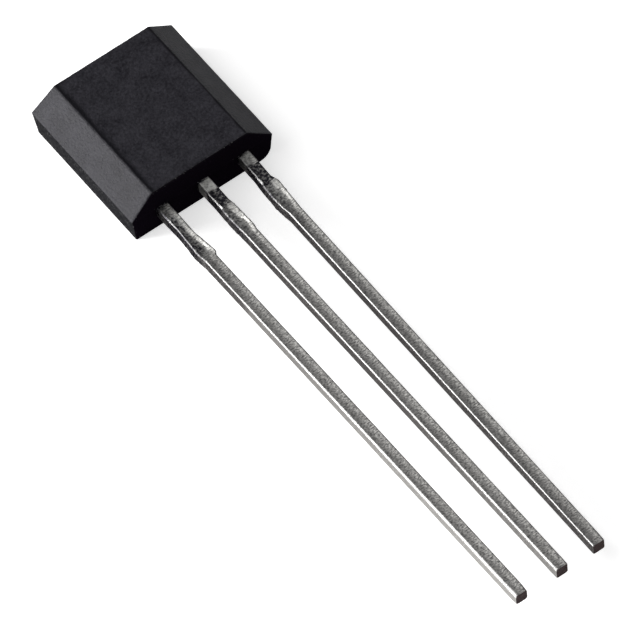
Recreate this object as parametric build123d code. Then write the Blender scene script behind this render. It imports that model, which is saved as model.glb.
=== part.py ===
from build123d import *
import os
from math import radians, tan

os.makedirs("parts", exist_ok=True)

# A Hall effect sensor in a moulded body with three leads in one row, in millimetres.
# It lies on its back: the back face is on z = 0 with the origin at its centre, the
# sensing face looks along +Z, and the leads run out along -Y with lead 1 at -X.

# moulded body
body_width = 4.40        # across the row of leads, at the parting plane
body_height = 4.40       # along the leads, at the parting plane
body_thickness = 1.52    # back face to sensing face
front_width = 2.97       # flat sensing face, between the two side bevels
parting_depth = 0.63     # sensing face down to the parting plane
mould_draft = 6.5        # degrees, on the front half's end walls and the back half's sides
back_end_draft = 3.5     # degrees, on the back half's end walls
front_edge_radius = 0.03
back_edge_radius = 0.05      # the back edge at -X
right_back_radius = 0.35     # the back edge at +X is rounded off far more than the others
ejector_mark_diameter = 1.20
ejector_mark_depth = 0.04
ejector_mark_from_top = 1.30

# leads, stamped from one strip and cut apart after moulding
lead_pitch = 1.27
lead_width = 0.36
lead_thickness = 0.38
lead_length = 15.00      # clear of the body
tie_start = 1.00         # the cut tie bar's stub, measured from the body
tie_shoulder = 1.55
tie_end = 1.90
tie_foot = 2.10
tie_stub = 0.07          # how far a stub stands out on each side of a lead

# lead frame inside the body
chip_from_top = 1.85     # body's top end to the middle of the chip
frame_gap = 0.30         # moulding between the chip's paddle and the outer leads
paddle_length = 1.70
post_width = 0.62        # bond post, outwards from the lead's inner edge
post_length = 1.30
frame_corner_radius = 0.08
lock_notch_radius = 0.09
lock_notch_depth_in = 0.55   # body's end face to the middle of the notches

# chip and its bonds
chip_width = 0.90
chip_height = 0.80
chip_thickness = 0.15
attach_thickness = 0.02
attach_margin = 0.05     # cement squeezed out around the chip
pad_inset = 0.10         # chip's edge to the middle of a bond pad
wire_diameter = 0.025
ball_diameter = 0.08
ball_height = 0.03
loop_height = 0.12       # top of the wire's line above the chip
loop_radius = 0.05
wedge_length = 0.10
wedge_width = 0.06
wedge_height = 0.03

# heights and places that follow from them
parting_z = body_thickness - parting_depth
lead_bottom = parting_z - lead_thickness
attach_top = parting_z + attach_thickness
chip_top = attach_top + chip_thickness
exit_y = -body_height / 2
tip_y = exit_y - lead_length
chip_y = body_height / 2 - chip_from_top
paddle_width = 2 * (lead_pitch - lead_width / 2 - frame_gap)
draft_slope = tan(radians(mould_draft))
back_end_slope = tan(radians(back_end_draft))


def slab(x_size, y_size, bottom, thickness, x=0, y=0):
    """a box by its plan size, its lowest height and its thickness"""
    return Pos(x, y, bottom + thickness / 2) * Box(x_size, y_size, thickness)


def plan_rectangle(x_low, x_high, y_low, y_high):
    """a rectangle in plan, by its limits"""
    middle = ((x_low + x_high) / 2, (y_low + y_high) / 2)
    return Pos(*middle) * Rectangle(x_high - x_low, y_high - y_low)


def body_half(width, height, z):
    """one half of the body: from the parting plane's full rectangle to a smaller one at z"""
    wide = Pos(0, 0, parting_z) * Rectangle(body_width, body_height)
    narrow = Pos(0, 0, z) * Rectangle(width, height)
    return loft([wide, narrow] if z > parting_z else [narrow, wide], ruled=True)


def back_edge(block, side):
    """the back face's long edge at -X (side 0) or +X (side -1)"""
    back = block.faces().sort_by(Axis.Z)[0]
    return back.edges().filter_by(Axis.Y).sort_by(Axis.X)[side]


def body_block():
    """the moulding without its cavities: bevelled front half, drafted back half"""
    front_height = body_height - 2 * draft_slope * parting_depth
    back_width = body_width - 2 * draft_slope * parting_z
    back_height = body_height - 2 * back_end_slope * parting_z
    front = body_half(front_width, front_height, body_thickness)
    back = body_half(back_width, back_height, 0)
    block = front + back
    front_edges = block.faces().sort_by(Axis.Z)[-1].edges()
    block = fillet(front_edges, front_edge_radius)
    block = fillet(back_edge(block, 0), back_edge_radius)
    block = fillet(back_edge(block, -1), right_back_radius)
    mark = Pos(0, body_height / 2 - ejector_mark_from_top, ejector_mark_depth / 2)
    return block - mark * Cylinder(ejector_mark_diameter / 2, ejector_mark_depth)


def shank(x, y_inside):
    """the straight bar of a lead with the stubs of the tie bar, in plan"""
    half = lead_width / 2
    bar = plan_rectangle(x - half, x + half, tip_y, y_inside)
    left = x - half - tie_stub
    right = x + half + tie_stub
    outline = Polyline(
        (x - half, exit_y - tie_start),
        (left, exit_y - tie_shoulder),
        (left, exit_y - tie_end),
        (x - half, exit_y - tie_foot),
        (x + half, exit_y - tie_foot),
        (right, exit_y - tie_end),
        (right, exit_y - tie_shoulder),
        (x + half, exit_y - tie_start),
        close=True,
    )
    return bar + make_face(outline)


def lock_notches(x):
    """half-round notches on both edges of a lead, filled by the moulding"""
    notch_y = exit_y + lock_notch_depth_in
    places = [(x - lead_width / 2, notch_y), (x + lead_width / 2, notch_y)]
    return Sketch() + [Pos(*place) * Circle(lock_notch_radius) for place in places]


def stamped(plan):
    """a plan outline stamped out of the lead strip"""
    return Pos(0, 0, lead_bottom) * extrude(plan, lead_thickness)


def rounded_pad(x_low, x_high, y_low, y_high):
    """a rectangle with rounded corners, by its limits"""
    middle = ((x_low + x_high) / 2, (y_low + y_high) / 2)
    size = (x_high - x_low, y_high - y_low)
    return Pos(*middle) * RectangleRounded(*size, frame_corner_radius)


def outer_lead(side):
    """lead 1 or 3: its inner end widens outwards into a bond post beside the chip"""
    x = side * lead_pitch
    inner = x - side * lead_width / 2
    outer = inner + side * post_width
    low = chip_y - post_length / 2
    post = rounded_pad(min(inner, outer), max(inner, outer), low, low + post_length)
    return stamped(shank(x, low + post_length / 2) + post - lock_notches(x))


def centre_lead():
    """lead 2: its inner end is the paddle that carries the chip"""
    half = paddle_width / 2
    low = chip_y - paddle_length / 2
    paddle = rounded_pad(-half, half, low, low + paddle_length)
    return stamped(shank(0, chip_y) + paddle - lock_notches(0))


def bond_wire(pad, landing):
    """a ball on the chip, a loop of wire, and a wedge pressed flat on the lead"""
    run = Vector(landing[0] - pad[0], landing[1] - pad[1], 0)
    knee = Vector(*pad, 0) + run * 0.35
    route = FilletPolyline(
        (*pad, chip_top + ball_height / 3),
        (*pad, chip_top + loop_height),
        (knee.X, knee.Y, chip_top + loop_height),
        (*landing, parting_z + wedge_height / 2),
        radius=loop_radius,
    )
    wire = sweep(Plane(route @ 0, z_dir=route % 0) * Circle(wire_diameter / 2), route)
    ball = Pos(*pad, chip_top + ball_height / 2) * Cylinder(ball_diameter / 2, ball_height)
    turn = Vector(1, 0, 0).get_signed_angle(run, Vector(0, 0, 1))
    wedge = Box(wedge_length, wedge_width, wedge_height)
    wedge = Pos(*landing, parting_z + wedge_height / 2) * Rot(0, 0, turn) * wedge
    return ball + wire + wedge


def build_parts():
    """every piece of the sensor, by name"""
    pad_x = chip_width / 2 - pad_inset
    pad_low = chip_y - chip_height / 2 + pad_inset
    post_x = lead_pitch - lead_width / 2 + post_width / 2
    ground_y = (chip_y - chip_height / 2 + chip_y - paddle_length / 2) / 2
    cement = (chip_width + 2 * attach_margin, chip_height + 2 * attach_margin)
    inside = {
        "supply_lead": outer_lead(-1),
        "ground_lead": centre_lead(),
        "output_lead": outer_lead(1),
        "die_attach": slab(*cement, parting_z, attach_thickness, y=chip_y),
        "sensor_chip": slab(chip_width, chip_height, attach_top, chip_thickness, y=chip_y),
        "supply_bond_wire": bond_wire((-pad_x, chip_y), (-post_x, chip_y)),
        "ground_bond_wire": bond_wire((0, pad_low), (0, ground_y)),
        "output_bond_wire": bond_wire((pad_x, chip_y), (post_x, chip_y)),
    }
    body = body_block()
    for piece in inside.values():
        body = body - piece
    return {"moulded_body": body, **inside}


for name, piece in build_parts().items():
    export_step(piece, f"parts/{name}.step")
    print(f"{name}: {piece.volume:.5f} mm3")
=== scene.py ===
import math
import bpy
import numpy as np
from mathutils import Matrix, Vector


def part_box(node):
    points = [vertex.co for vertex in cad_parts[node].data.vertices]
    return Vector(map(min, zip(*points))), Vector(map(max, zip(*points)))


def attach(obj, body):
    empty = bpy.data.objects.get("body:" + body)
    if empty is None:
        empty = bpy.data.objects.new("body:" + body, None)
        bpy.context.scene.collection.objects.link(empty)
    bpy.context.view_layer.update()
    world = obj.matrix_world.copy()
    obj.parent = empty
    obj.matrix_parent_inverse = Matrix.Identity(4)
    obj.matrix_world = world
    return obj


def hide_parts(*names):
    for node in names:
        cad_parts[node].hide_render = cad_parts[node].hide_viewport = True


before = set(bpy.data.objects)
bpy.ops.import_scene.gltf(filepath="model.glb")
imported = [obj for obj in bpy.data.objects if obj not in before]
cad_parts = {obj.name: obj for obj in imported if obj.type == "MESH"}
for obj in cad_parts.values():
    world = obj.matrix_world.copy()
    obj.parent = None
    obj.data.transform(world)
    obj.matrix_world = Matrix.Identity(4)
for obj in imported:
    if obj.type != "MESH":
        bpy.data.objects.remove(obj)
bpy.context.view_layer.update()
print("frame loaded:", len(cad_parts), "nodes")

mm = 0.001
bodyLow, bodyHigh = [np.array(corner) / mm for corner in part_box("moulded_body")]
leadNodes = ["supply_lead", "ground_lead", "output_lead"]
exitY = bodyLow[1]          # the end face that the leads come out of
sameLevel = 1e-4            # heights closer together than this are one level


def latticeNoise(points, cell, seed):
    # random values on a cubic lattice of that cell size, blended by a smooth step: -1 to 1
    table = np.random.default_rng(seed).uniform(-1, 1, (32, 32, 32))
    place = points / cell
    base = np.floor(place).astype(int)
    t = place - base
    t = t * t * (3 - 2 * t)
    total = np.zeros(points.shape[:-1])
    for corner in np.ndindex(2, 2, 2):
        index = (base + corner) % 32
        weight = np.prod(np.where(corner, t, 1 - t), axis=-1)
        total += weight * table[index[..., 0], index[..., 1], index[..., 2]]
    return total


def smoothStep(low, high, value):
    # 0 below low, 1 above high, and an S curve between them
    t = np.clip((value - low) / (high - low), 0, 1)
    return t * t * (3 - 2 * t)


def curve(value, stops):
    # straight runs between (place, amount) stops
    places, amounts = zip(*stops)
    return np.interp(value, places, amounts)


def ringColumns(alongX, alongY, cornerSteps):
    # once round a unit rounded rectangle, anticlockwise from its lower left corner: where each
    # column sits between the corner centres, and which way the outline faces there
    spots, facing = [], []
    corners = [(-1, -1), (1, -1), (1, 1), (-1, 1)]
    for turn, here in enumerate(corners):
        after = corners[(turn + 1) % 4]
        angle = math.pi + (turn + np.linspace(0, 1, cornerSteps)) * math.pi / 2
        spots.append(np.tile(here, (cornerSteps, 1)))
        facing.append(np.stack([np.cos(angle), np.sin(angle)], axis=1))
        steps = alongX if turn % 2 == 0 else alongY
        share = (np.arange(1, steps) / steps)[:, None]
        spots.append(np.array(here) * (1 - share) + np.array(after) * share)
        facing.append(np.tile(facing[-1][-1], (steps - 1, 1)))
    return np.concatenate(spots), np.concatenate(facing)


def roundedLine(corners, radii, steps, arcSteps):
    # a line through corner points, each corner turned into an arc of its radius: the arc's
    # ends lie radius * tan(half the turn) before and after the corner
    points = np.array(corners, float)
    line = [points[:1]]
    start = points[0]
    for index in range(1, len(points) - 1):
        corner = points[index]
        before = (corner - points[index - 1]) / np.linalg.norm(corner - points[index - 1])
        after = (points[index + 1] - corner) / np.linalg.norm(points[index + 1] - corner)
        turn = math.acos(np.clip(before @ after, -1, 1))
        reach = radii[index - 1] * math.tan(turn / 2)
        arcStart = corner - before * reach
        share = (np.arange(1, steps[index - 1] + 1) / steps[index - 1])[:, None]
        line.append(start * (1 - share) + arcStart * share)
        side = after - before * (before @ after)
        side = side / np.linalg.norm(side)
        angle = (np.arange(1, arcSteps + 1) / arcSteps * turn)[:, None]
        swing = before * np.sin(angle) + side * (1 - np.cos(angle))
        line.append(arcStart + swing * radii[index - 1])
        start = line[-1][-1]
    share = (np.arange(1, steps[-1] + 1) / steps[-1])[:, None]
    line.append(start * (1 - share) + points[-1] * share)
    return np.concatenate(line)


def skin(name, rings, masks, finish):
    # a closed skin over rings of points: each ring is joined to the next, and the first and
    # last shrink to a pole; finish is the material number of each quad
    rows, columns = rings.shape[:2]
    points = rings.reshape(-1, 3) * mm
    poles = np.stack([rings[0].mean(axis=0), rings[-1].mean(axis=0)]) * mm
    row, column = np.meshgrid(np.arange(rows - 1), np.arange(columns), indexing="ij")
    following = (column + 1) % columns
    quads = np.stack([row * columns + column, (row + 1) * columns + column,
                      (row + 1) * columns + following, row * columns + following], axis=-1)
    around = np.arange(columns)
    onward = (around + 1) % columns
    last = (rows - 1) * columns
    firstPole, lastPole = rows * columns, rows * columns + 1
    caps = np.concatenate([
        np.stack([np.full(columns, firstPole), around, onward], axis=1),
        np.stack([np.full(columns, lastPole), last + onward, last + around], axis=1)])
    mesh = bpy.data.meshes.new(name)
    mesh.from_pydata(np.concatenate([points, poles]).tolist(), [],
                     quads.reshape(-1, 4).tolist() + caps.tolist())
    mesh.polygons.foreach_set("use_smooth", np.ones(len(mesh.polygons), bool))
    numbers = np.concatenate([finish.ravel(), finish[0], finish[-1]])
    mesh.polygons.foreach_set("material_index", numbers.astype(np.int32))
    for mask, values in masks.items():
        layer = mesh.attributes.new(mask, "FLOAT", "POINT")
        poleValues = [values[0].mean(), values[-1].mean()]
        layer.data.foreach_set("value", np.append(values.ravel(), poleValues).astype(np.float32))
    mesh.update()
    piece = bpy.data.objects.new(name, mesh)
    bpy.context.scene.collection.objects.link(piece)
    return piece


def addNode(tree, kind, inputs=None, **settings):
    node = tree.nodes.new(kind)
    for setting, value in settings.items():
        setattr(node, setting, value)
    for socket, value in (inputs or {}).items():
        if isinstance(value, bpy.types.NodeSocket):
            tree.links.new(value, node.inputs[socket])
        else:
            node.inputs[socket].default_value = value
    return node


def blendColours(tree, share, first, second):
    mix = addNode(tree, "ShaderNodeMix", {"Factor": share}, data_type="RGBA")
    for socket, colour in ((mix.inputs[6], first), (mix.inputs[7], second)):
        if isinstance(colour, bpy.types.NodeSocket):
            tree.links.new(colour, socket)
        else:
            socket.default_value = (*colour, 1)
    return mix.outputs[2]


def calculate(tree, operation, first, second=0.0, clamp=False):
    return addNode(tree, "ShaderNodeMath", {0: first, 1: second},
                   operation=operation, use_clamp=clamp).outputs[0]


def remap(tree, value, low, high, toLow, toHigh):
    return addNode(tree, "ShaderNodeMapRange", {"Value": value, "From Min": low, "From Max": high,
                                                "To Min": toLow, "To Max": toHigh}).outputs[0]


def newGroup(name, inputs, outputs):
    group = bpy.data.node_groups.new(name, "ShaderNodeTree")
    for label, kind, value in inputs:
        socket = group.interface.new_socket(label, in_out="INPUT", socket_type=kind)
        if value is not None:
            socket.default_value = value
    for label, kind in outputs:
        group.interface.new_socket(label, in_out="OUTPUT", socket_type=kind)
    return group, group.nodes.new("NodeGroupInput").outputs, group.nodes.new("NodeGroupOutput").inputs


def makeGrain():
    # fine and coarse noise together: Size is the fine grain in millimetres, Stretch lengthens
    # it along one axis
    group, given, out = newGroup(
        "fineGrain",
        [("Vector", "NodeSocketVector", None), ("Size", "NodeSocketFloat", 0.05),
         ("Stretch", "NodeSocketVector", (1, 1, 1))],
        [("Mask", "NodeSocketFloat"), ("Mottle", "NodeSocketFloat")])
    perGrain = calculate(group, "DIVIDE", 1 / mm, given["Size"])
    stretched = addNode(group, "ShaderNodeVectorMath", {0: given["Vector"], 1: given["Stretch"]},
                        operation="MULTIPLY").outputs[0]
    scaled = addNode(group, "ShaderNodeVectorMath", {0: stretched, "Scale": perGrain},
                     operation="SCALE").outputs[0]
    fine = addNode(group, "ShaderNodeTexNoise", {"Vector": scaled, "Scale": 1.0, "Detail": 3.0,
                                                 "Roughness": 0.6}).outputs[0]
    coarse = addNode(group, "ShaderNodeTexNoise", {"Vector": scaled, "Scale": 0.13, "Detail": 2.0,
                                                   "Roughness": 0.5}).outputs[0]
    group.links.new(remap(group, fine, 0.25, 0.75, 0.0, 1.0), out["Mask"])
    group.links.new(remap(group, coarse, 0.3, 0.7, 0.0, 1.0), out["Mottle"])
    return group


def makeSpeckle():
    # scattered dots: cells of Size millimetres, of which those whose random number is over
    # 1 - Share show
    group, given, out = newGroup(
        "speckle",
        [("Vector", "NodeSocketVector", None), ("Size", "NodeSocketFloat", 0.06),
         ("Share", "NodeSocketFloat", 0.1)],
        [("Mask", "NodeSocketFloat")])
    perCell = calculate(group, "DIVIDE", 1 / mm, given["Size"])
    scaled = addNode(group, "ShaderNodeVectorMath", {0: given["Vector"], "Scale": perCell},
                     operation="SCALE").outputs[0]
    cells = addNode(group, "ShaderNodeTexVoronoi", {"Vector": scaled, "Scale": 1.0})
    pick = addNode(group, "ShaderNodeSeparateColor", {0: cells.outputs["Color"]}).outputs[0]
    chosen = calculate(group, "GREATER_THAN", pick, calculate(group, "SUBTRACT", 1.0, given["Share"]))
    disc = remap(group, cells.outputs["Distance"], 0.2, 0.45, 1.0, 0.0)
    group.links.new(calculate(group, "MULTIPLY", chosen, disc, True), out["Mask"])
    return group


def makeWear():
    # an edge mask broken up by noise, so that it shows in patches
    group, given, out = newGroup(
        "edgeWear",
        [("Edge", "NodeSocketFloat", 0.0), ("Breakup", "NodeSocketFloat", 0.5),
         ("Amount", "NodeSocketFloat", 0.5)],
        [("Mask", "NodeSocketFloat")])
    lifted = calculate(group, "ADD", given["Edge"], calculate(group, "SUBTRACT", given["Breakup"], 1.0))
    kept = remap(group, lifted, 0.0, 0.5, 0.0, 1.0)
    group.links.new(calculate(group, "MULTIPLY", kept, given["Amount"], True), out["Mask"])
    return group


grainGroup, speckleGroup, wearGroup = makeGrain(), makeSpeckle(), makeWear()


def placeGroup(tree, group, inputs):
    return addNode(tree, "ShaderNodeGroup", inputs, node_tree=group).outputs


def newMaterial(name, **constants):
    material = bpy.data.materials.new(name)
    material.use_nodes = True
    tree = material.node_tree
    shader = tree.nodes["Principled BSDF"]
    for socket, value in constants.items():
        shader.inputs[socket].default_value = value
    place = tree.nodes.new("ShaderNodeTexCoord").outputs["Object"]
    return material, tree, shader, place


def readMask(tree, name):
    return addNode(tree, "ShaderNodeAttribute", attribute_name=name).outputs["Fac"]


def addBump(tree, shader, height, depth):
    bump = addNode(tree, "ShaderNodeBump", {"Height": height, "Distance": depth * mm, "Strength": 1.0})
    tree.links.new(bump.outputs[0], shader.inputs["Normal"])


moulding = {
    "frontWidth": 2.97,        # flat sensing face, between the bevels
    "bevelDepth": 0.63,        # sensing face down to the parting line
    "draft": 6.5,              # degrees
    "backEndDraft": 3.5,
    "frontRadius": 0.03,
    "backRadius": 0.03,
    "rightBackRadius": 0.35,
    "cornerRadius": 0.030,     # upright corners, seen from the front
    "flash": 0.008,            # ridge left along the parting line
    "flashWidth": 0.014,
    "flashRadii": (0.004, 0.003, 0.004),
    "waviness": 0.0030,
    "waveSizes": (0.9, 0.25),
    "edgeRoughness": 0.008,
    "dentSize": 0.09,
    "ridgePatch": 0.16,        # stretches over which the ridge is torn away
    "ejectorRadius": 0.60,
    "ejectorDepth": 0.04,
    "ejectorFromTop": 1.30,
    "ejectorLip": 0.03,        # over which the mark's rim slopes down
    "gateWidth": 0.70,
    "gateHeight": 0.22,
    "gateDepth": 0.030,
    "gateLips": (0.04, 0.03),  # beside the scar, and above and below it
    "gateZone": 0.15,          # how far in from the top end the scar can reach
    "tearSize": 0.07,
    "creaseLeft": 0.11,        # darker, rougher lines just inside the long edges
    "creaseRight": 0.045,
    "creasePatch": 0.3,
    "wallStart": 0.004,        # the dull finish begins this far below the parting line
    "rows": (56, 26, 2, 2, 26, 48),     # front, bevel, ridge up and down, back wall, back face
    "arcRows": 5,
    "sideColumns": 104,
    "cornerColumns": 6,
}

epoxy = {
    "colour": (0.0030, 0.0027, 0.0045),
    "paleColour": (0.0330, 0.0320, 0.0385),
    "speckColour": (0.045, 0.044, 0.050),
    "wornColour": (0.060, 0.060, 0.064),
    "creaseColour": (0.0030, 0.0028, 0.0045),
    "shine": 0.10,
    "roughness": (0.35, 0.50),
    "extraRoughness": 0.45,    # in the crease lines, and a share of it on the right bevel
    "rightBevelShare": 0.35,
    "grainSize": 0.065,
    "grainDepth": 0.0090,
    "speckSize": 0.06,
    "specks": 0.16,            # share of the cells that hold a speck
    "speckStrength": 0.30,
    "wear": 0.40,
}

# the walls come out of a coarser, duller part of the mould
dullWall = {
    "sideColour": (0.0260, 0.0260, 0.0275),
    "sideDarkColour": (0.003, 0.003, 0.004),
    # the end faces' near-black colour is painted shade
    "endShadeColour": (0.0046, 0.0030, 0.0056),
    "flashColour": (0.030, 0.029, 0.031),
    "gateColour": (0.016, 0.016, 0.018),
    "wornColour": (0.10, 0.10, 0.10),
    "roughness": 0.8,
    "grainSize": 0.07,
    "grainDepth": 0.006,
    "speckSize": 0.06,
    "specks": 0.25,
    "speckStrength": 0.5,
    "flashStrength": 0.35,
    "gateStrength": 0.5,
    "wear": 0.8,
}


def roundBackRight(rings, halfX, isBack):
    # the back edge at +X becomes a quarter circle: the wall below its centre turns into the
    # first half of the arc and the strip of back face beside it into the second half, which
    # fades out one radius in from the wall
    radius = moulding["rightBackRadius"]
    x, z = rings[..., 0], rings[..., 2]
    foot = halfX[isBack[:, 0]].max()
    wallX = np.where(isBack, foot, halfX)
    along = np.clip((wallX - x) / radius, 0, 1)
    down = np.clip((radius - z) / radius, 0, 1)
    turn = np.where(isBack, 0.5 + 0.5 * along, 0.5 * down) * math.pi / 2
    arcX = wallX - radius + radius * np.cos(turn)
    arcZ = radius - radius * np.sin(turn)
    fade = (1 - np.sin((0.5 + 0.5 * along) * math.pi / 2)) / (1 - math.sin(math.pi / 4))
    touched = (z < radius) & (x > wallX - radius)
    moveX = np.where(isBack, arcX - x, (arcX - wallX) * fade)
    moveZ = np.where(isBack, arcZ - z, (arcZ - z) * fade)
    rings[..., 0] += np.where(touched, moveX, 0)
    rings[..., 2] += np.where(touched, moveZ, 0)


def makeMoulding():
    # rings of rounded rectangles, each set by two drafted outlines: one across the body with
    # the bevels, one along it; the rings run from the middle of the front, over the parting
    # line, to the middle of the back
    m = moulding
    width, height, thickness = bodyHigh - bodyLow
    partingZ = thickness - m["bevelDepth"]
    slope = math.tan(math.radians(m["draft"]))
    endSlope = math.tan(math.radians(m["backEndDraft"]))
    wide, tall = width / 2 - m["flash"], height / 2 - m["flash"]
    radii = [m["frontRadius"], *m["flashRadii"], m["backRadius"]]

    def outline(front, parting, crest, shrink):
        ridge = m["flashWidth"] / 2
        return roundedLine([(0, thickness), (front, thickness), (parting, partingZ + ridge),
                            (crest, partingZ), (parting, partingZ - ridge),
                            (crest - shrink, 0), (0, 0)], radii, m["rows"], m["arcRows"])

    across = outline(m["frontWidth"] / 2, wide, width / 2, slope * partingZ)
    along = outline(height / 2 - slope * m["bevelDepth"], tall, height / 2, endSlope * partingZ)
    spots, facing = ringColumns(m["sideColumns"], m["sideColumns"], m["cornerColumns"])
    halfX, halfY = across[:, :1], along[:, :1]
    corner = np.minimum(m["cornerRadius"], 0.5 * np.minimum(halfX, halfY))
    endShare = facing[:, 1] ** 2
    x = spots[:, 0] * (halfX - corner) + facing[:, 0] * corner
    y = spots[:, 1] * (halfY - corner) + facing[:, 1] * corner
    z = across[:, 1:] * (1 - endShare) + along[:, 1:] * endShare
    rings = np.stack([x, y, z], axis=-1)
    isFront = np.abs(z - thickness) < sameLevel
    isBack = z < sameLevel
    row = np.arange(len(rings))

    # relief: slight waviness, worn edges, an uneven flash ridge, the marks of gate and ejector
    outward = rings - np.array([0, 0, thickness / 2])
    outward = outward / np.array([width / 2, height / 2, thickness / 2])
    outward = outward / np.maximum(np.linalg.norm(outward, axis=-1, keepdims=True), 1e-9)
    halfArc = (m["arcRows"] + 1) // 2
    edgeRow = m["rows"][0] + halfArc     # the middle of the front edge's arc
    frontEdge = np.exp(-((row - edgeRow) / halfArc) ** 2)[:, None]
    uprights = (np.abs(facing).max(axis=1) < 0.999)[None, :] * ~isFront * ~isBack
    edge = np.clip(np.maximum(frontEdge, uprights * 0.8), 0, 1)
    ridge = np.clip(1 - np.abs(z - partingZ) / (m["flashWidth"] * 0.6), 0, 1) * (halfX > 0.45 * width)
    dents = np.clip(latticeNoise(rings, m["dentSize"], seed=3) + 0.2, 0, 1) * edge * m["edgeRoughness"]
    longWaves = latticeNoise(rings, m["waveSizes"][0], seed=1)
    shortWaves = latticeNoise(rings, m["waveSizes"][1], seed=2)
    swell = (longWaves * 0.7 + shortWaves * 0.3) * 0.5 - 0.5
    ragged = np.clip(0.45 + 0.55 * latticeNoise(rings, m["ridgePatch"], seed=4), 0, 1)
    inward = dents - swell * m["waviness"] + ridge * (1 - ragged) * m["flash"]
    rings = rings - outward * (inward * ~(isFront | isBack))[..., None]
    rings[..., 2] += np.where(isFront, swell * m["waviness"], 0)
    middle = bodyHigh[1] - m["ejectorFromTop"]
    fromMark = np.hypot(rings[..., 0], rings[..., 1] - middle)
    sunk = 1 - smoothStep(m["ejectorRadius"] - m["ejectorLip"], m["ejectorRadius"], fromMark)
    rings[..., 2] += np.where(isBack, sunk * m["ejectorDepth"], 0)
    gateX = 1 - smoothStep(m["gateWidth"] / 2 - m["gateLips"][0], m["gateWidth"] / 2,
                           np.abs(rings[..., 0]))
    gateZ = 1 - smoothStep(m["gateHeight"] / 2 - m["gateLips"][1], m["gateHeight"] / 2,
                           np.abs(rings[..., 2] - partingZ + m["gateHeight"] / 2))
    torn = 0.6 + 0.4 * latticeNoise(rings, m["tearSize"], seed=5)
    onTop = rings[..., 1] > bodyHigh[1] - m["gateZone"]
    rings[..., 1] -= np.where(onTop, gateX * gateZ * torn * m["gateDepth"], 0)
    roundBackRight(rings, halfX, isBack)

    # a darker, rougher line just inside each long edge of the sensing face
    fromSide = m["frontWidth"] / 2 - np.abs(x)
    reach = np.where(x > 0, m["creaseRight"], m["creaseLeft"])
    reach = reach * (1 + 0.3 * latticeNoise(rings, m["creasePatch"], seed=6))
    crease = np.clip(1.15 - np.abs(fromSide - reach * 0.5) / reach, 0, 1)
    crease = crease * (z > thickness - m["frontRadius"])
    masks = {
        "edge": np.maximum(edge * 0.9, ridge * 0.7),
        "crease": crease,
        # painted shade: marks the end faces, whose colour is darkened
        "paintedEndShade": np.broadcast_to(smoothStep(0.3, 0.8, np.abs(facing[:, 1])), z.shape),
        "gate": np.where(onTop, gateX * gateZ, 0),
        "rightBevel": np.where((x > m["frontWidth"] / 2) & ~isFront & ~isBack, 1.0, 0.0),
    }
    onEnd = (np.abs(facing[:, 1]) > 0.6)[None, :]
    pastFront = (row >= edgeRow)[:, None]
    pastParting = (z < partingZ - m["wallStart"]) & ~isBack
    walls = (pastFront & onEnd & ~isBack) | pastParting
    return skin("mouldedBody", rings, masks, walls[:-1])


def makeEpoxy():
    material, tree, shader, place = newMaterial("blackEpoxy", **{"Specular IOR Level": epoxy["shine"]})
    grain = placeGroup(tree, grainGroup, {"Vector": place, "Size": epoxy["grainSize"]})
    dots = placeGroup(tree, speckleGroup, {"Vector": place, "Size": epoxy["speckSize"],
                                           "Share": epoxy["specks"]})
    wear = placeGroup(tree, wearGroup, {"Edge": readMask(tree, "edge"), "Breakup": grain["Mask"],
                                        "Amount": epoxy["wear"]})
    coarse = calculate(tree, "MULTIPLY", grain["Mottle"], 0.3)
    mottle = calculate(tree, "ADD", coarse, calculate(tree, "MULTIPLY", grain["Mask"], 0.7))
    tone = blendColours(tree, mottle, epoxy["colour"], epoxy["paleColour"])
    specks = calculate(tree, "MULTIPLY", dots["Mask"], epoxy["speckStrength"])
    tone = blendColours(tree, specks, tone, epoxy["speckColour"])
    tone = blendColours(tree, readMask(tree, "crease"), tone, epoxy["creaseColour"])
    tone = blendColours(tree, wear["Mask"], tone, epoxy["wornColour"])
    tree.links.new(tone, shader.inputs["Base Color"])
    rough = remap(tree, grain["Mask"], 0.0, 1.0, *epoxy["roughness"])
    rightBevel = calculate(tree, "MULTIPLY", readMask(tree, "rightBevel"), epoxy["rightBevelShare"])
    coarser = calculate(tree, "MAXIMUM", readMask(tree, "crease"), rightBevel)
    extra = calculate(tree, "MULTIPLY", coarser, epoxy["extraRoughness"])
    rough = calculate(tree, "ADD", rough, extra, True)
    tree.links.new(rough, shader.inputs["Roughness"])
    addBump(tree, shader, grain["Mask"], epoxy["grainDepth"])
    return material


def makeDullWall():
    look = dullWall
    material, tree, shader, place = newMaterial(
        "dullEpoxyWall", **{"Specular IOR Level": 0.0, "Roughness": look["roughness"]})
    grain = placeGroup(tree, grainGroup, {"Vector": place, "Size": look["grainSize"]})
    dots = placeGroup(tree, speckleGroup, {"Vector": place, "Size": look["speckSize"],
                                           "Share": look["specks"]})
    edge = readMask(tree, "edge")
    wear = placeGroup(tree, wearGroup, {"Edge": edge, "Breakup": dots["Mask"], "Amount": look["wear"]})
    side = blendColours(tree, grain["Mask"], look["sideDarkColour"], look["sideColour"])
    specks = calculate(tree, "MULTIPLY", dots["Mask"], look["speckStrength"])
    side = blendColours(tree, specks, side, look["wornColour"])
    # painted shade: the end faces get a near-black colour
    tone = blendColours(tree, readMask(tree, "paintedEndShade"), side, look["endShadeColour"])
    flash = calculate(tree, "MULTIPLY", edge, look["flashStrength"])
    flash = calculate(tree, "MULTIPLY", grain["Mottle"], flash)
    tone = blendColours(tree, flash, tone, look["flashColour"])
    tone = blendColours(tree, wear["Mask"], tone, look["wornColour"])
    gate = calculate(tree, "MULTIPLY", readMask(tree, "gate"), look["gateStrength"])
    tone = blendColours(tree, gate, tone, look["gateColour"])
    tree.links.new(tone, shader.inputs["Base Color"])
    addBump(tree, shader, grain["Mask"], look["grainDepth"])
    return material


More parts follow.
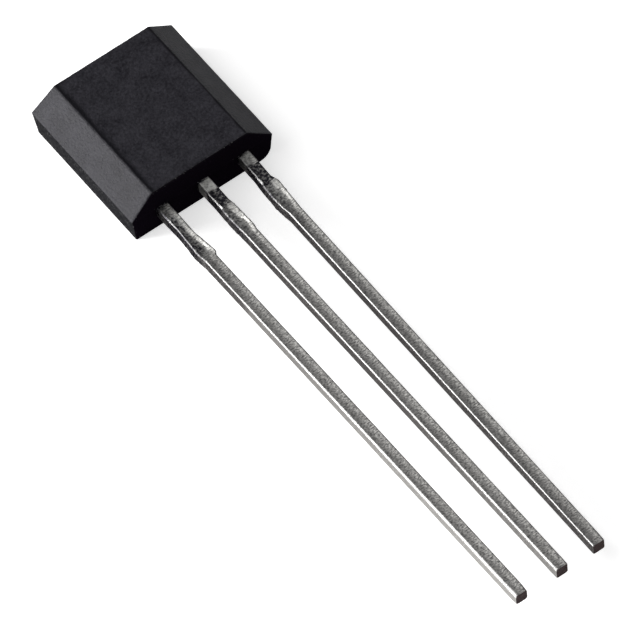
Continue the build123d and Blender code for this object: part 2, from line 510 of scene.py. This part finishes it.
stamping = {
    "pitch": 1.27,             # between the middles of neighbouring leads
    "width": 0.36,
    "arris": 0.040,            # rounding of the long edges
    "notchRadius": 0.09,       # mould lock, inside the body
    "notchIn": 0.55,
    "postWidth": 0.62,
    "postLength": 1.30,
    "paddleLength": 1.70,
    "frameGap": 0.30,
    "frameCorner": 0.08,
    "chipFromTop": 1.85,
    "waviness": 0.0045,
    "stubRoughness": 0.014,
    "tipRounding": 0.025,
    "tipRoughness": 0.014,
    "lumpSizes": (0.12, 0.05),  # coarse and fine lumps where the tie bar was sheared
    "waveSize": 0.22,
    "cutSize": 0.06,
    "sideColumns": (18, 12),    # across the face and down the flank
    "cornerColumns": 6,
    "capShares": (0.8, 0.55, 0.3, 0.1),    # how the rows inside the cut end's rim close in
    "cutRows": 6,               # rows at the tip where the bare metal shows
    "chordShare": 0.35,         # front left edge: 0 is an arc and 1 a straight chamfer
}

# drift is how far the tip leans sideways, and tipFlat how much rounder its last edges are; the
# rest are stops of (distance from the body's end face, amount): how much each side narrows at
# the neck and swells where the tie bar was cut away, how far across the valley of the front
# face lies, its depth, how strong the painted shade on the metal is, how matt and pale, how much
# painted shade covers the front left edge, and how much wider than the others that edge is rounded
leadShapes = {
    "supply_lead": {
        "drift": 0.089, "seed": 11, "tipFlat": 0.055,
        "left": [(0, 0), (0.5, -0.006), (0.9, -0.014), (1.2, 0.004), (1.7, 0.036), (1.9, 0.030),
                 (2.1, 0.0)],
        "right": [(0, 0.0), (0.6, -0.012), (1.15, -0.024), (1.45, 0.010), (1.94, 0.064),
                  (2.0, 0.055), (2.06, 0.0)],
        "valley": [(0, 0.2), (0.5, -0.4), (1.0, 0.0), (1.7, 0.6), (2.1, -0.1), (4, 0.1), (15, 0.0)],
        "depth": [(0, 0.004), (0.5, 0.010), (1.1, 0.034), (1.75, 0.034), (2.1, 0.013), (15, 0.010)],
        "paintedShade": [(0, 1.0), (0.07, 0.9), (0.10, 0.55), (0.35, 0.6), (0.50, 0.92), (1.7, 0.88),
                    (2.0, 0.45), (4, 0.12), (15, 0.02)],
        "matt": [(0.08, 0.0), (0.14, 0.25), (0.5, 0.25), (0.56, 0.55), (0.66, 0.36), (1.9, 0.32),
                 (2.1, 0.1), (15, 0.08)],
        "paintedEdgeShade": [(0, 1.0), (0.42, 1.0), (0.52, 0.55), (1.9, 0.65), (2.1, 0.05)],
        "flare": [(0.45, 0.0), (0.55, 0.02), (0.60, 0.0), (2.4, 0.0), (6, 0.010), (15, 0.034)],
    },
    "ground_lead": {
        "drift": 0.062, "seed": 23, "tipFlat": 0.020,
        "left": [(0, 0), (0.75, 0.000), (1.05, 0.010), (1.42, 0.024), (1.7, 0.014), (2.0, 0.0)],
        "right": [(0, 0.0), (0.6, -0.012), (0.90, -0.016), (1.10, 0.018), (1.55, 0.026),
                  (1.91, 0.034), (2.0, 0.012), (2.09, 0.0)],
        "valley": [(0, 0.0), (0.4, 0.3), (1.0, -0.8), (1.25, 0.0), (1.75, 0.6), (2.1, 0.25),
                   (4, 0.2), (15, 0.1)],
        "depth": [(0, 0.002), (0.43, 0.004), (0.50, 0.016), (1.0, 0.028), (1.6, 0.038), (2.1, 0.022),
                  (3.4, 0.013), (15, 0.010)],
        "paintedShade": [(0, 1.0), (0.045, 0.9), (0.06, 0.05), (0.40, 0.15), (0.45, 1.0), (0.98, 1.0),
                    (1.08, 0.66), (1.72, 0.68), (1.80, 0.80), (1.90, 0.62), (2.4, 0.48), (4, 0.24),
                    (15, 0.08)],
        "matt": [(0.05, 0.0), (0.07, 1.0), (0.12, 0.95), (0.40, 0.90), (0.44, 0.0), (1.0, 0.0),
                 (1.1, 0.42), (1.75, 0.30), (2.0, 0.14), (15, 0.07)],
        "paintedEdgeShade": [(0, 0.9), (0.42, 0.9), (0.50, 0.0), (1.04, 0.0), (1.10, 0.85), (1.8, 0.7), (1.95, 0.0)],
        "flare": [(0.50, 0.0), (0.88, 0.012), (1.02, 0.075), (1.08, 0.0), (2.4, 0.0), (6, 0.004),
                  (15, 0.020)],
    },
    "output_lead": {
        "drift": -0.071, "seed": 37, "tipFlat": 0.020,
        "left": [(0, 0), (0.7, 0.0), (0.94, 0.024), (1.3, 0.040), (1.73, 0.058), (1.9, 0.044),
                 (2.08, 0.024), (2.25, 0.0)],
        "right": [(0, 0.0), (0.6, -0.012), (0.97, -0.024), (1.21, 0.055), (1.5, 0.042),
                  (1.87, 0.026), (2.2, 0.0)],
        "valley": [(0, 0.0), (0.4, 0.4), (1.05, -0.7), (1.3, 0.0), (1.75, 0.65), (2.2, 0.25),
                   (4, 0.3), (15, 0.2)],
        "depth": [(0, 0.002), (0.40, 0.006), (0.55, 0.018), (1.05, 0.030), (1.6, 0.036), (2.1, 0.020),
                  (3.4, 0.012), (15, 0.008)],
        "paintedShade": [(0, 1.0), (0.03, 0.9), (0.05, 0.30), (0.36, 0.30), (0.44, 1.0), (1.1, 1.0),
                    (1.22, 0.66), (1.8, 0.66), (2.4, 0.50), (4, 0.34), (15, 0.26)],
        "matt": [(0.04, 0.0), (0.07, 0.55), (0.36, 0.45), (0.42, 0.1), (1.15, 0.1), (1.25, 0.44),
                 (1.8, 0.30), (2.1, 0.14), (15, 0.07)],
        "paintedEdgeShade": [(0, 0.9), (0.38, 0.9), (0.46, 0.0), (1.06, 0.0), (1.13, 0.85), (1.7, 0.7), (1.85, 0.0)],
        "flare": [(0.50, 0.0), (0.86, 0.012), (1.04, 0.085), (1.12, 0.0), (15, -0.004)],
    },
}

tin = {
    "colour": (0.78, 0.762, 0.730),
    "paleColour": (0.98, 0.965, 0.930),
    "darkColour": (0.075, 0.073, 0.078),
    "mattColour": (0.72, 0.725, 0.69),
    # near-black painted shade for the leads' front faces, flanks and long edges
    "paintedShadeColour": (0.022, 0.021, 0.027),
    "arrisColour": (0.20, 0.20, 0.20),
    # the flanks' dark colour is painted shade
    "sideColour": (0.170, 0.162, 0.158),
    "sideSpeckColour": (0.60, 0.58, 0.57),
    "glancingTint": (0.25, 0.25, 0.25, 1),
    "roughness": (0.28, 0.50),
    "arrisRoughness": 0.04,
    "stubRoughness": 0.06,
    "grainSize": 0.044,
    "grainStretch": (0.60, 1.25, 1.0),
    "grainDepth": 0.0040,
    "tickStrength": 0.93,      # dark ticks in the grain
    "paintedLeftShade": 0.50,         # painted shade, darkening towards the left edge of the front face
    "arrisStrength": 0.70,
    "blotchSize": 0.065,
    "speckSize": 0.055,
    "specks": 0.35,
    "speckStrength": 0.7,
}


def halfWidths(node, away, centreX):
    # the outline seen from the front: bar, lock notches, cut tie bar, and inside the body a
    # bond post or the chip's paddle whose corners are quarter circles
    s, shape = stamping, leadShapes[node]
    bar = np.full(away.shape, s["width"] / 2)
    notch = np.clip(s["notchRadius"] ** 2 - (away + s["notchIn"]) ** 2, 0, None) ** 0.5
    sides = {}
    for side in ("left", "right"):
        sides[side] = bar - notch + np.where(away > 0, curve(away, shape[side]), 0)
    chipY = bodyHigh[1] - s["chipFromTop"]
    isPaddle = centreX == 0
    length = s["paddleLength"] if isPaddle else s["postLength"]
    fromEnd = length / 2 - np.abs(exitY - away - chipY)
    inset = np.clip(s["frameCorner"] - fromEnd, 0, s["frameCorner"])
    rounding = s["frameCorner"] - (s["frameCorner"] ** 2 - inset ** 2) ** 0.5
    paddleHalf = s["pitch"] - s["width"] / 2 - s["frameGap"]
    if isPaddle:
        reach = {"left": paddleHalf, "right": paddleHalf}
    else:
        outer = s["postWidth"] - s["width"] / 2
        reach = {"left" if centreX < 0 else "right": outer}
    for side, amount in reach.items():
        sides[side] = np.where(fromEnd > 0, np.maximum(amount - rounding, sides[side]), sides[side])
    return sides["left"], sides["right"]


def makeLead(node, number):
    # a stamped bar: a rounded rectangle carried from the inner end to the tip, its two half
    # widths, its rounding and the valley in its front face all functions of the distance away
    # from the body, then closed by a cut end
    s, shape = stamping, leadShapes[node]
    low, high = [np.array(corner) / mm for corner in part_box(node)]
    centreX = (number - 1) * s["pitch"]
    bottom, top = low[2], high[2]
    inner, length = exitY - high[1], exitY - low[1]
    # (distance away, rows up to the next stop): close together where the outline changes
    stops = [(inner, 7), (inner + 0.1, 39), (-0.7, 15), (-0.35, 5), (0.0, 189), (2.4, 239),
             (length - 0.3, 11), (length - s["tipRounding"], 1)]
    ends = [place for place, rows in stops[1:]] + [length]
    away = np.concatenate([np.linspace(place, end, rows, endpoint=False)
                           for (place, rows), end in zip(stops, ends)])
    left, right = halfWidths(node, away, centreX)
    caps = len(s["capShares"])
    endTurn = np.linspace(0, math.pi / 2, caps + 1)[1:]
    endShrink = s["tipRounding"] * (1 - np.cos(endTurn))
    endAway = length - s["tipRounding"] * (1 - np.sin(endTurn))
    away = np.concatenate([away, endAway, np.full(caps, length)])
    shrink = np.concatenate([np.zeros(len(left)), endShrink, np.full(caps, endShrink[-1])])
    scale = np.concatenate([np.ones(len(left) + caps), s["capShares"]])
    left = (np.append(left, np.full(2 * caps, left[-1])) - shrink) * scale
    right = (np.append(right, np.full(2 * caps, right[-1])) - shrink) * scale
    thick = ((top - bottom) / 2 - shrink) * scale
    spots, facing = ringColumns(*s["sideColumns"], s["cornerColumns"])
    halfX, middleX = ((left + right) / 2)[:, None], ((right - left) / 2)[:, None]

    # the long edges are arcs; the front left one is wider and flatter than the others
    frontLeft = np.clip(1 - np.hypot(spots[:, 0] + 1, spots[:, 1] - 1) / 0.9, 0, 1)
    rounding = s["arris"] + curve(away, shape["flare"])[:, None] * frontLeft
    rounding = rounding + shape["tipFlat"] * smoothStep(length - 0.25, length, away)[:, None]
    rounding = np.minimum(rounding, 0.45 * np.minimum(halfX, thick[:, None]))
    bend = facing.copy()
    isEdge = frontLeft > 0.999
    flatter = np.abs(facing).sum(axis=1, keepdims=True)
    chord = s["chordShare"]
    bend[isEdge] = (facing * (1 - chord + chord / flatter))[isEdge]
    x = spots[:, 0] * (halfX - rounding) + bend[:, 0] * rounding
    z = spots[:, 1] * (thick[:, None] - rounding) + bend[:, 1] * rounding
    y = np.broadcast_to(-away[:, None], x.shape)

    # the front face is pressed into a shallow valley that wanders across the lead
    valley = curve(away, shape["valley"])[:, None]
    share = np.where(spots[:, 0] < valley, (spots[:, 0] + 1) / (valley + 1),
                     (1 - spots[:, 0]) / (1 - valley))
    outside = smoothStep(-0.02, 0.05, away)[:, None]
    isFront = np.clip(facing[:, 1], 0, 1) ** 4
    share = np.clip(share, 0, 1)
    drop = curve(away, shape["depth"])[:, None] * share * isFront * outside * scale[:, None]
    rings = np.stack([x + middleX, y, z - drop], axis=-1)

    # hammered roughness where the tie bar was sheared, slight waviness elsewhere
    stub = smoothStep(1.0, 1.15, away) * (1 - smoothStep(1.9, 2.4, away))
    seed = shape["seed"]
    coarse, fine = [latticeNoise(rings, size, seed + turn) for turn, size in enumerate(s["lumpSizes"])]
    lumps = coarse * 0.55 + fine * 0.45
    soft = latticeNoise(rings * np.array([1, 0.35, 1]), s["waveSize"], seed + 2)
    rough = (stub[:, None] * lumps * s["stubRoughness"] + (soft - 1) * s["waviness"] * 0.5) * outside
    rings[..., 0] += facing[:, 0] * rough * scale[:, None]
    rings[..., 2] += facing[:, 1] * np.minimum(rough, 0) * scale[:, None]
    cut = latticeNoise(rings, s["cutSize"], seed + 3) * 0.5 + 0.5
    atTip = np.isclose(away, length)[:, None]
    rings[..., 1] += np.where(atTip, cut * s["tipRoughness"], 0)
    rings[..., 0] += centreX + shape["drift"] * np.clip(away, 0, None)[:, None] / length
    rings[..., 1] += exitY
    rings[..., 2] += (top + bottom) / 2
    masks = {"across": spots[:, 0], "side": facing[:, 0] ** 2, "stub": stub[:, None]}
    # the painted shade masks and the matt mask follow the stops of each lead
    for name in ("paintedShade", "matt", "paintedEdgeShade"):
        masks[name] = curve(away, shape[name])[:, None]
    masks = {name: np.broadcast_to(values, x.shape) for name, values in masks.items()}
    quadRows = len(rings) - 1
    isCut = np.arange(quadRows) >= quadRows - s["cutRows"]
    finish = np.broadcast_to(isCut[:, None], (quadRows, len(spots)))
    return skin(node.replace("_lead", "Lead"), rings, masks, finish)


def makeTin():
    material, tree, shader, place = newMaterial("tinPlate", **{"Specular Tint": tin["glancingTint"]})
    grain = placeGroup(tree, grainGroup, {"Vector": place, "Size": tin["grainSize"],
                                          "Stretch": tin["grainStretch"]})
    speck = placeGroup(tree, grainGroup, {"Vector": place, "Size": tin["blotchSize"]})
    dots = placeGroup(tree, speckleGroup, {"Vector": place, "Size": tin["speckSize"],
                                           "Share": tin["specks"]})
    side, across = readMask(tree, "side"), readMask(tree, "across")
    paintedShade, matt, stub = readMask(tree, "paintedShade"), readMask(tree, "matt"), readMask(tree, "stub")

    # plating: mottled, with dark ticks across the lead, and painted shade towards the left edge
    tone = blendColours(tree, grain["Mottle"], tin["colour"], tin["paleColour"])
    ticks = remap(tree, grain["Mask"], 0.20, 0.75, tin["tickStrength"], 0.0)
    tone = blendColours(tree, ticks, tone, tin["darkColour"])
    # painted shade towards the left edge of the front face
    leftwardPaintedShade = remap(tree, across, -0.9, 0.5, tin["paintedLeftShade"], 0.0)
    tone = blendColours(tree, leftwardPaintedShade, tone, tin["darkColour"])
    patch = calculate(tree, "MULTIPLY", matt, remap(tree, speck["Mask"], 0.15, 0.7, 0.25, 1.0), True)
    patch = calculate(tree, "MULTIPLY", patch, remap(tree, side, 0.1, 0.6, 1.0, 0.0))
    tone = blendColours(tree, patch, tone, tin["mattColour"])

    # painted shade: strongest on the left half, all over where its mask is near 1, broken into specks,
    # and kept off the left long edge, which gets the darker arris colour and painted shade in spots
    arris = calculate(tree, "MULTIPLY", remap(tree, side, 0.03, 0.15, 0.0, 1.0),
                      remap(tree, side, 0.60, 0.85, 1.0, 0.0))
    onRight = calculate(tree, "GREATER_THAN", across, 0.9)
    leftArris = calculate(tree, "MULTIPLY", arris, calculate(tree, "SUBTRACT", 1.0, onRight))
    # painted shade over the front face, darkest on its left half
    leftHalfPaintedShade = calculate(tree, "MULTIPLY", paintedShade, remap(tree, across, -0.25, 0.7, 1.0, 0.10))
    fullPaintedShade = remap(tree, paintedShade, 0.93, 0.98, 0.0, 0.95)
    paintedShadeCover = calculate(tree, "MAXIMUM", leftHalfPaintedShade, fullPaintedShade)
    paintedShadeCover = calculate(tree, "MULTIPLY", paintedShadeCover, remap(tree, speck["Mask"], 0.30, 0.90, 1.25, 0.35), True)
    shadeKeptOffLeftEdge = calculate(tree, "SUBTRACT", 1.0, calculate(tree, "MULTIPLY", leftArris, 0.85))
    paintedShadeCover = calculate(tree, "MULTIPLY", paintedShadeCover, shadeKeptOffLeftEdge)
    tone = blendColours(tree, paintedShadeCover, tone, tin["paintedShadeColour"])
    bareArris = calculate(tree, "MULTIPLY", leftArris, tin["arrisStrength"])
    tone = blendColours(tree, bareArris, tone, tin["arrisColour"])
    # painted shade: a dark line along the right long edge
    paintedRightEdgeShade = calculate(tree, "MULTIPLY", arris, calculate(tree, "MULTIPLY", onRight, 0.75))
    tone = blendColours(tree, paintedRightEdgeShade, tone, tin["paintedShadeColour"])
    # painted shade over the front left edge, broken into spots, where its mask is high
    paintedEdgeShadeSpots = calculate(tree, "MULTIPLY", readMask(tree, "paintedEdgeShade"),
                       remap(tree, speck["Mask"], 0.30, 0.80, 1.15, 0.55), True)
    tone = blendColours(tree, calculate(tree, "MULTIPLY", leftArris, paintedEdgeShadeSpots), tone, tin["paintedShadeColour"])

    # the flanks: dark colour that is painted shade, plus a painted highlight where the shade mask is low
    flank = remap(tree, side, 0.55, 0.85, 0.0, 0.94)
    specks = calculate(tree, "MULTIPLY", dots["Mask"], tin["speckStrength"])
    sideTone = blendColours(tree, specks, tin["sideColour"], tin["sideSpeckColour"])
    flankPaintedShade = calculate(tree, "MULTIPLY", paintedShade, remap(tree, speck["Mask"], 0.2, 0.8, 1.5, 0.4), True)
    sideTone = blendColours(tree, flankPaintedShade, sideTone, tin["paintedShadeColour"])
    # painted highlight on the flanks where the painted shade mask is low
    paintedFlankHighlight = remap(tree, paintedShade, 0.03, 0.18, 0.40, 0.0)
    sideTone = blendColours(tree, paintedFlankHighlight, sideTone, tin["paleColour"])
    tone = blendColours(tree, flank, tone, sideTone)
    tree.links.new(tone, shader.inputs["Base Color"])
    tree.links.new(calculate(tree, "SUBTRACT", 1.0, calculate(tree, "MULTIPLY", patch, 0.8)),
                   shader.inputs["Metallic"])
    rough = remap(tree, grain["Mask"], 0.0, 1.0, *tin["roughness"])
    rough = calculate(tree, "ADD", rough, calculate(tree, "MULTIPLY", arris, tin["arrisRoughness"]))
    rough = calculate(tree, "ADD", rough, calculate(tree, "MULTIPLY", stub, tin["stubRoughness"]))
    tree.links.new(rough, shader.inputs["Roughness"])
    addBump(tree, shader, grain["Mask"], tin["grainDepth"])
    return material


# copper alloy sheared by the cutter and gone brown, with darker pits
cutEnd = {
    "colour": (0.008, 0.004, 0.005),
    "paleColour": (0.060, 0.036, 0.035),
    "pitColour": (0.004, 0.002, 0.003),
    "shine": 0.08,
    "roughness": (0.45, 0.75),
    "grainSize": 0.04,
    "grainStretch": (0.5, 1.0, 2.0),
    "grainDepth": 0.004,
    "pitSize": 0.06,
    "pits": 0.4,
    "pitStrength": 0.8,
}


def makeCutEnd():
    look = cutEnd
    material, tree, shader, place = newMaterial("cutCopper", **{"Specular IOR Level": look["shine"]})
    grain = placeGroup(tree, grainGroup, {"Vector": place, "Size": look["grainSize"],
                                          "Stretch": look["grainStretch"]})
    dots = placeGroup(tree, speckleGroup, {"Vector": place, "Size": look["pitSize"], "Share": look["pits"]})
    tone = blendColours(tree, grain["Mask"], look["colour"], look["paleColour"])
    pits = calculate(tree, "MULTIPLY", dots["Mask"], look["pitStrength"])
    tone = blendColours(tree, pits, tone, look["pitColour"])
    tree.links.new(tone, shader.inputs["Base Color"])
    tree.links.new(remap(tree, grain["Mask"], 0.0, 1.0, *look["roughness"]), shader.inputs["Roughness"])
    addBump(tree, shader, grain["Mask"], look["grainDepth"])
    return material


# the pieces sealed inside keep their CAD shapes and only get a finish
sealed = {
    "silicon": {"colour": (0.10, 0.11, 0.14), "second": (0.16, 0.15, 0.20), "metallic": 0.2,
                "roughness": (0.12, 0.22), "size": 0.12},
    "silverCement": {"colour": (0.52, 0.51, 0.48), "second": (0.66, 0.65, 0.62), "metallic": 0.4,
                     "roughness": (0.45, 0.65), "size": 0.02},
    "goldWire": {"colour": (0.78, 0.52, 0.16), "second": (0.88, 0.62, 0.22), "metallic": 1.0,
                 "roughness": (0.15, 0.30), "size": 0.01},
}
sealedNodes = {"silicon": ["sensor_chip"], "silverCement": ["die_attach"],
               "goldWire": ["supply_bond_wire", "ground_bond_wire", "output_bond_wire"]}
sealedGrainDepth = 0.0005


def makeSealed(name):
    look = sealed[name]
    material, tree, shader, place = newMaterial(name, Metallic=look["metallic"])
    grain = placeGroup(tree, grainGroup, {"Vector": place, "Size": look["size"]})
    tone = blendColours(tree, grain["Mask"], look["colour"], look["second"])
    tree.links.new(tone, shader.inputs["Base Color"])
    tree.links.new(remap(tree, grain["Mask"], 0.0, 1.0, *look["roughness"]), shader.inputs["Roughness"])
    addBump(tree, shader, grain["Mask"], sealedGrainDepth)
    return material


studio = {
    "azimuth": -31.20,         # degrees, as are elevation and roll
    "elevation": 55.34,
    "roll": -6.17,
    "distance": 298.9,
    "aim": (0.484, -6.336, -0.753),
    "lens": 669.9,
    "clip": (5.0, 5000.0),
    "floorSize": 900.0,
    "floorDrop": 0.01,         # keeps the floor clear of the faces that lie on it
    "floorWhite": 0.90,
    "floorLift": 0.55,         # glow that the camera, reflections and clear things see
    "ceiling": 0.34,
    "horizon": 0.95,
    "rise": (0.05, 0.30),      # heights between which the horizon fades into the ceiling
}

# direction to each lamp, how far, how wide, and how bright a white card facing it gets
softboxes = {
    "keyBox": {"toward": (-0.62, 0.22, 0.75), "distance": 160, "size": 120, "level": 0.40},
    "sideBox": {"toward": (-0.82, 0.49, 0.30), "distance": 170, "size": 70, "level": 1.70},
}


def addSoftbox(name, look):
    # a white card's brightness is irradiance / pi, so the power is level * (pi * distance)^2
    lamp = bpy.data.lights.new(name, "AREA")
    lamp.shape = "SQUARE"
    lamp.size = look["size"] * mm
    lamp.energy = look["level"] * (math.pi * look["distance"] * mm) ** 2
    toward = Vector(look["toward"]).normalized()
    box = bpy.data.objects.new(name, lamp)
    box.location = toward * look["distance"] * mm
    box.rotation_euler = toward.to_track_quat("Z", "Y").to_euler()
    bpy.context.scene.collection.objects.link(box)


def addCamera():
    # the camera's back axis comes from azimuth and elevation, then it rolls about that axis
    turn, tilt = math.radians(studio["azimuth"]), math.radians(studio["elevation"])
    back = Vector((math.sin(turn) * math.cos(tilt), -math.cos(turn) * math.cos(tilt), math.sin(tilt)))
    right = Vector((math.cos(turn), math.sin(turn), 0))
    right.rotate(Matrix.Rotation(math.radians(studio["roll"]), 3, back))
    basis = Matrix((right, back.cross(right), back)).transposed().to_4x4()
    place = (Vector(studio["aim"]) + back * studio["distance"]) * mm
    lens = bpy.data.cameras.new("mainCamera")
    lens.lens = studio["lens"]
    lens.clip_start, lens.clip_end = [reach * mm for reach in studio["clip"]]
    camera = bpy.data.objects.new("mainCamera", lens)
    camera.matrix_world = Matrix.Translation(place) @ basis
    bpy.context.scene.collection.objects.link(camera)
    bpy.context.scene.camera = camera


def addFloor():
    half, low = studio["floorSize"] / 2 * mm, -studio["floorDrop"] * mm
    mesh = bpy.data.meshes.new("floor")
    mesh.from_pydata([(-half, -half, low), (half, -half, low), (half, half, low), (-half, half, low)],
                     [], [(0, 1, 2, 3)])
    floor = bpy.data.objects.new("floor", mesh)
    bpy.context.scene.collection.objects.link(floor)
    white = studio["floorWhite"]
    material, tree, shader = newMaterial(
        "whiteSweep", **{"Base Color": (white, white, white, 1), "Roughness": 1.0,
                         "Specular IOR Level": 0.0, "Emission Color": (1, 1, 1, 1)})[:3]
    rays = tree.nodes.new("ShaderNodeLightPath").outputs
    seen = calculate(tree, "MAXIMUM", rays["Is Camera Ray"], rays["Is Glossy Ray"])
    seen = calculate(tree, "MAXIMUM", seen, rays["Is Transmission Ray"])
    lift = calculate(tree, "MULTIPLY", seen, studio["floorLift"])
    tree.links.new(lift, shader.inputs["Emission Strength"])
    mesh.materials.append(material)


def addWorld():
    # a pale horizon under a dimmer ceiling, by how steeply each direction rises
    world = bpy.data.worlds.new("studioWorld")
    world.use_nodes = True
    tree = world.node_tree
    direction = tree.nodes.new("ShaderNodeTexCoord").outputs["Generated"]
    rise = addNode(tree, "ShaderNodeSeparateXYZ", {0: direction}).outputs["Z"]
    level = remap(tree, rise, *studio["rise"], studio["horizon"], studio["ceiling"])
    tree.links.new(level, tree.nodes["Background"].inputs["Strength"])
    tree.nodes["Background"].inputs["Color"].default_value = (1, 1, 1, 1)
    bpy.context.scene.world = world


addCamera()
addFloor()
addWorld()
for boxName, boxLook in softboxes.items():
    addSoftbox(boxName, boxLook)
print("studio set")

body = makeMoulding()
body.data.materials.append(makeEpoxy())
body.data.materials.append(makeDullWall())
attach(body, "root")
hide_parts("moulded_body")
print("moulding made:", len(body.data.polygons), "faces")

tinPlate, cutCopper = makeTin(), makeCutEnd()
for leadNumber, leadNode in enumerate(leadNodes):
    lead = makeLead(leadNode, leadNumber)
    lead.data.materials.append(tinPlate)
    lead.data.materials.append(cutCopper)
    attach(lead, "root")
    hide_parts(leadNode)
    print(lead.name, "made:", len(lead.data.polygons), "faces")

for finish, nodeNames in sealedNodes.items():
    sealedMaterial = makeSealed(finish)
    for nodeName in nodeNames:
        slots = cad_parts[nodeName].material_slots
        slots[0].material = sealedMaterial
print("sealed pieces finished")

bpy.context.scene.view_settings.view_transform = "Standard"
